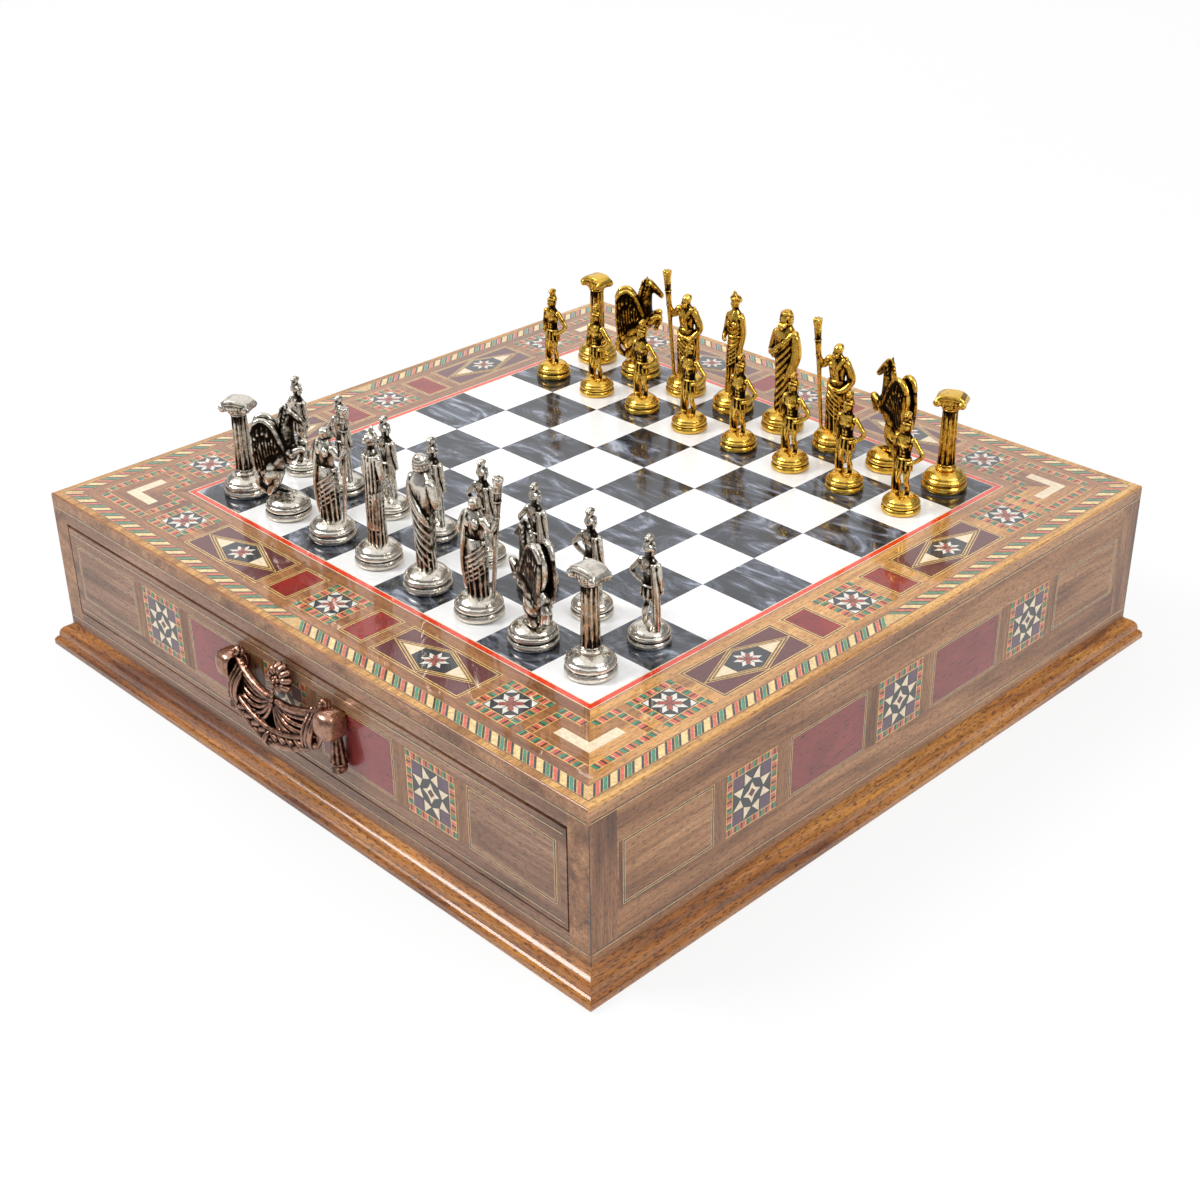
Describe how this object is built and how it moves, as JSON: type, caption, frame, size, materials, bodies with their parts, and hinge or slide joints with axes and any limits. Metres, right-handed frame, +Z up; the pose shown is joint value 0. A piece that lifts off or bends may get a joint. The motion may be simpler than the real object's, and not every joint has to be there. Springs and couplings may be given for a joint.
{
  "type": "chess box",
  "caption": "Square chess box with a marquetry top, an inset drawer with a swag pull, a moulded plinth and cast figures that lift off their squares.",
  "frame": {"origin": "middle of the underside", "axes": "+Z up, -Y out of the drawer's front, +X to the right of someone facing the drawer"},
  "size_m": [0.4, 0.4075, 0.157],
  "materials": {
    "wall_veneer": "lacquered walnut veneer",
    "plinth_wood": "lacquered walnut moulding",
    "inner_wood": "plain sanded board",
    "border_marquetry": "lacquered marquetry",
    "red_line": "lacquered red stringing",
    "dark_pearl": "dark pearl sheet",
    "white_gloss": "white gloss sheet",
    "drawer_veneer": "lacquered walnut veneer",
    "drawer_wood": "plain sanded wood",
    "drawer_lining": "felt",
    "aged_copper": "antique copper casting",
    "screw_steel": "zinc plated",
    "aged_silver": "antique silver casting",
    "aged_gold": "antique gold casting"
  },
  "bodies": {
    "case": {"side_wall_left": "wall_veneer", "side_wall_right": "wall_veneer", "back_wall": "wall_veneer", "front_top_rail": "wall_veneer", "front_bottom_rail": "wall_veneer", "plinth_front": "plinth_wood", "plinth_back": "plinth_wood", "plinth_left": "plinth_wood", "plinth_right": "plinth_wood", "base_panel": "inner_wood", "drawer_runner_left": "inner_wood", "drawer_runner_right": "inner_wood", "board_panel": "inner_wood", "border_front": "border_marquetry", "border_back": "border_marquetry", "border_left": "border_marquetry", "border_right": "border_marquetry", "red_stringing": "red_line", "dark_squares": "dark_pearl", "white_squares": "white_gloss"},
    "drawer": {"drawer_front": "drawer_veneer", "drawer_side_left": "drawer_wood", "drawer_side_right": "drawer_wood", "drawer_back": "drawer_wood", "drawer_bottom": "drawer_wood", "drawer_felt": "drawer_lining", "drawer_pull": "aged_copper", "pull_screws": "screw_steel"},
    "silver_rook_a": {"silver_rook_a": "aged_silver"},
    "silver_pawn_a": {"silver_pawn_a": "aged_silver"},
    "silver_knight_b": {"silver_knight_b": "aged_silver"},
    "silver_pawn_b": {"silver_pawn_b": "aged_silver"},
    "silver_bishop_c": {"silver_bishop_c": "aged_silver"},
    "silver_pawn_c": {"silver_pawn_c": "aged_silver"},
    "silver_queen": {"silver_queen": "aged_silver"},
    "silver_pawn_d": {"silver_pawn_d": "aged_silver"},
    "silver_king": {"silver_king": "aged_silver"},
    "silver_pawn_e": {"silver_pawn_e": "aged_silver"},
    "silver_bishop_f": {"silver_bishop_f": "aged_silver"},
    "silver_pawn_f": {"silver_pawn_f": "aged_silver"},
    "silver_knight_g": {"silver_knight_g": "aged_silver"},
    "silver_pawn_g": {"silver_pawn_g": "aged_silver"},
    "silver_rook_h": {"silver_rook_h": "aged_silver"},
    "silver_pawn_h": {"silver_pawn_h": "aged_silver"},
    "gold_rook_a": {"gold_rook_a": "aged_gold"},
    "gold_pawn_a": {"gold_pawn_a": "aged_gold"},
    "gold_knight_b": {"gold_knight_b": "aged_gold"},
    "gold_pawn_b": {"gold_pawn_b": "aged_gold"},
    "gold_bishop_c": {"gold_bishop_c": "aged_gold"},
    "gold_pawn_c": {"gold_pawn_c": "aged_gold"},
    "gold_queen": {"gold_queen": "aged_gold"},
    "gold_pawn_d": {"gold_pawn_d": "aged_gold"},
    "gold_king": {"gold_king": "aged_gold"},
    "gold_pawn_e": {"gold_pawn_e": "aged_gold"},
    "gold_bishop_f": {"gold_bishop_f": "aged_gold"},
    "gold_pawn_f": {"gold_pawn_f": "aged_gold"},
    "gold_knight_g": {"gold_knight_g": "aged_gold"},
    "gold_pawn_g": {"gold_pawn_g": "aged_gold"},
    "gold_rook_h": {"gold_rook_h": "aged_gold"},
    "gold_pawn_h": {"gold_pawn_h": "aged_gold"}
  },
  "joints": [
    {"name": "drawer_slide", "type": "slide", "parent": "case", "child": "drawer", "axis": [0, -1, 0], "range_m": [0, 0.28]},
    {"name": "silver_rook_a_lift", "type": "slide", "parent": "case", "child": "silver_rook_a", "axis": [0, 0, 1], "range_m": [0, 0.085]},
    {"name": "silver_pawn_a_lift", "type": "slide", "parent": "case", "child": "silver_pawn_a", "axis": [0, 0, 1], "range_m": [0, 0.085]},
    {"name": "silver_knight_b_lift", "type": "slide", "parent": "case", "child": "silver_knight_b", "axis": [0, 0, 1], "range_m": [0, 0.085]},
    {"name": "silver_pawn_b_lift", "type": "slide", "parent": "case", "child": "silver_pawn_b", "axis": [0, 0, 1], "range_m": [0, 0.085]},
    {"name": "silver_bishop_c_lift", "type": "slide", "parent": "case", "child": "silver_bishop_c", "axis": [0, 0, 1], "range_m": [0, 0.085]},
    {"name": "silver_pawn_c_lift", "type": "slide", "parent": "case", "child": "silver_pawn_c", "axis": [0, 0, 1], "range_m": [0, 0.085]},
    {"name": "silver_queen_lift", "type": "slide", "parent": "case", "child": "silver_queen", "axis": [0, 0, 1], "range_m": [0, 0.085]},
    {"name": "silver_pawn_d_lift", "type": "slide", "parent": "case", "child": "silver_pawn_d", "axis": [0, 0, 1], "range_m": [0, 0.085]},
    {"name": "silver_king_lift", "type": "slide", "parent": "case", "child": "silver_king", "axis": [0, 0, 1], "range_m": [0, 0.085]},
    {"name": "silver_pawn_e_lift", "type": "slide", "parent": "case", "child": "silver_pawn_e", "axis": [0, 0, 1], "range_m": [0, 0.085]},
    {"name": "silver_bishop_f_lift", "type": "slide", "parent": "case", "child": "silver_bishop_f", "axis": [0, 0, 1], "range_m": [0, 0.085]},
    {"name": "silver_pawn_f_lift", "type": "slide", "parent": "case", "child": "silver_pawn_f", "axis": [0, 0, 1], "range_m": [0, 0.085]},
    {"name": "silver_knight_g_lift", "type": "slide", "parent": "case", "child": "silver_knight_g", "axis": [0, 0, 1], "range_m": [0, 0.085]},
    {"name": "silver_pawn_g_lift", "type": "slide", "parent": "case", "child": "silver_pawn_g", "axis": [0, 0, 1], "range_m": [0, 0.085]},
    {"name": "silver_rook_h_lift", "type": "slide", "parent": "case", "child": "silver_rook_h", "axis": [0, 0, 1], "range_m": [0, 0.085]},
    {"name": "silver_pawn_h_lift", "type": "slide", "parent": "case", "child": "silver_pawn_h", "axis": [0, 0, 1], "range_m": [0, 0.085]},
    {"name": "gold_rook_a_lift", "type": "slide", "parent": "case", "child": "gold_rook_a", "axis": [0, 0, 1], "range_m": [0, 0.085]},
    {"name": "gold_pawn_a_lift", "type": "slide", "parent": "case", "child": "gold_pawn_a", "axis": [0, 0, 1], "range_m": [0, 0.085]},
    {"name": "gold_knight_b_lift", "type": "slide", "parent": "case", "child": "gold_knight_b", "axis": [0, 0, 1], "range_m": [0, 0.085]},
    {"name": "gold_pawn_b_lift", "type": "slide", "parent": "case", "child": "gold_pawn_b", "axis": [0, 0, 1], "range_m": [0, 0.085]},
    {"name": "gold_bishop_c_lift", "type": "slide", "parent": "case", "child": "gold_bishop_c", "axis": [0, 0, 1], "range_m": [0, 0.085]},
    {"name": "gold_pawn_c_lift", "type": "slide", "parent": "case", "child": "gold_pawn_c", "axis": [0, 0, 1], "range_m": [0, 0.085]},
    {"name": "gold_queen_lift", "type": "slide", "parent": "case", "child": "gold_queen", "axis": [0, 0, 1], "range_m": [0, 0.085]},
    {"name": "gold_pawn_d_lift", "type": "slide", "parent": "case", "child": "gold_pawn_d", "axis": [0, 0, 1], "range_m": [0, 0.085]},
    {"name": "gold_king_lift", "type": "slide", "parent": "case", "child": "gold_king", "axis": [0, 0, 1], "range_m": [0, 0.085]},
    {"name": "gold_pawn_e_lift", "type": "slide", "parent": "case", "child": "gold_pawn_e", "axis": [0, 0, 1], "range_m": [0, 0.085]},
    {"name": "gold_bishop_f_lift", "type": "slide", "parent": "case", "child": "gold_bishop_f", "axis": [0, 0, 1], "range_m": [0, 0.085]},
    {"name": "gold_pawn_f_lift", "type": "slide", "parent": "case", "child": "gold_pawn_f", "axis": [0, 0, 1], "range_m": [0, 0.085]},
    {"name": "gold_knight_g_lift", "type": "slide", "parent": "case", "child": "gold_knight_g", "axis": [0, 0, 1], "range_m": [0, 0.085]},
    {"name": "gold_pawn_g_lift", "type": "slide", "parent": "case", "child": "gold_pawn_g", "axis": [0, 0, 1], "range_m": [0, 0.085]},
    {"name": "gold_rook_h_lift", "type": "slide", "parent": "case", "child": "gold_rook_h", "axis": [0, 0, 1], "range_m": [0, 0.085]},
    {"name": "gold_pawn_h_lift", "type": "slide", "parent": "case", "child": "gold_pawn_h", "axis": [0, 0, 1], "range_m": [0, 0.085]}
  ]
}
